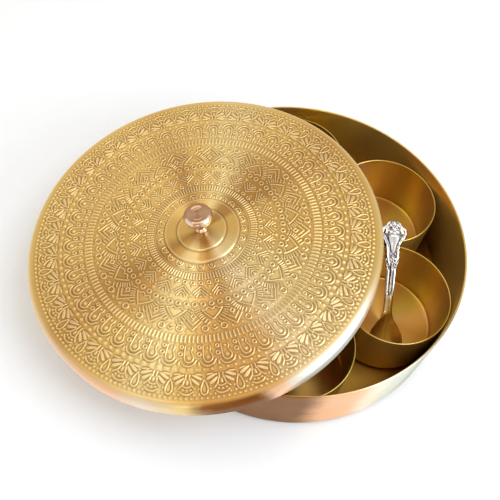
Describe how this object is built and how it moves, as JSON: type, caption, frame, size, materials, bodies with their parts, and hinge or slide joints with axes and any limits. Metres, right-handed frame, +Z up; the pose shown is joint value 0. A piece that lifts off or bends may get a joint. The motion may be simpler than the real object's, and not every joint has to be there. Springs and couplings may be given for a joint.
{
  "type": "spice box masala dabba",
  "caption": "Round brass spice box: a pan holding loose cups in a ring round a middle one, a skirted embossed lid with a turned knob resting half open, and a small spoon.",
  "frame": {"origin": "middle of the pan's flat base, on the surface it stands on", "axes": "+Z up; -X is the way the lid has been slid off the pan; the lid leans down towards -X"},
  "size_m": [0.2828, 0.2252, 0.0832],
  "materials": {
    "pan_brass": "spun and satin brushed brass, brighter at the rim",
    "cup_brass": "spun satin brass",
    "lid_brass": "embossed brass, circular brushed, pale gold on the raised lines",
    "knob_metal": "polished, rose tinted plating",
    "steel": "plain zinc plated steel",
    "spoon_silver": "polished silver plate, dark in the hollows of the ornament"
  },
  "bodies": {
    "pan": {"pan": "pan_brass"},
    "lid": {"lid_plate": "lid_brass", "lid_knob": "knob_metal", "knob_washer": "steel", "knob_screw": "steel"},
    "cup_centre": {"cup_centre": "cup_brass"},
    "cup_1": {"cup_1": "cup_brass"},
    "cup_2": {"cup_2": "cup_brass"},
    "cup_3": {"cup_3": "cup_brass"},
    "cup_4": {"cup_4": "cup_brass"},
    "cup_5": {"cup_5": "cup_brass"},
    "cup_6": {"cup_6": "cup_brass"},
    "spoon": {"spoon": "spoon_silver"}
  },
  "joints": [
    {"name": "lid_lift", "type": "slide", "parent": "pan", "child": "lid", "axis": [0, 0, 1], "range_m": [0, 0.2]},
    {"name": "cup_centre_lift", "type": "slide", "parent": "pan", "child": "cup_centre", "axis": [0, 0, 1], "range_m": [0, 0.1]},
    {"name": "cup_1_lift", "type": "slide", "parent": "pan", "child": "cup_1", "axis": [0, 0, 1], "range_m": [0, 0.1]},
    {"name": "cup_2_lift", "type": "slide", "parent": "pan", "child": "cup_2", "axis": [0, 0, 1], "range_m": [0, 0.1]},
    {"name": "cup_3_lift", "type": "slide", "parent": "pan", "child": "cup_3", "axis": [0, 0, 1], "range_m": [0, 0.1]},
    {"name": "cup_4_lift", "type": "slide", "parent": "pan", "child": "cup_4", "axis": [0, 0, 1], "range_m": [0, 0.1]},
    {"name": "cup_5_lift", "type": "slide", "parent": "pan", "child": "cup_5", "axis": [0, 0, 1], "range_m": [0, 0.1]},
    {"name": "cup_6_lift", "type": "slide", "parent": "pan", "child": "cup_6", "axis": [0, 0, 1], "range_m": [0, 0.1]},
    {"name": "spoon_lift", "type": "slide", "parent": "cup_6", "child": "spoon", "axis": [0, 0, 1], "range_m": [0, 0.1]}
  ],
  "couplings": [
    {"joint": "cup_centre_lift", "follows": "lid_lift", "ratio": 0.5},
    {"joint": "cup_1_lift", "follows": "lid_lift", "ratio": 0.5},
    {"joint": "cup_2_lift", "follows": "lid_lift", "ratio": 0.5},
    {"joint": "cup_3_lift", "follows": "lid_lift", "ratio": 0.5},
    {"joint": "cup_4_lift", "follows": "lid_lift", "ratio": 0.5},
    {"joint": "cup_5_lift", "follows": "lid_lift", "ratio": 0.5},
    {"joint": "cup_6_lift", "follows": "lid_lift", "ratio": 0.5}
  ]
}
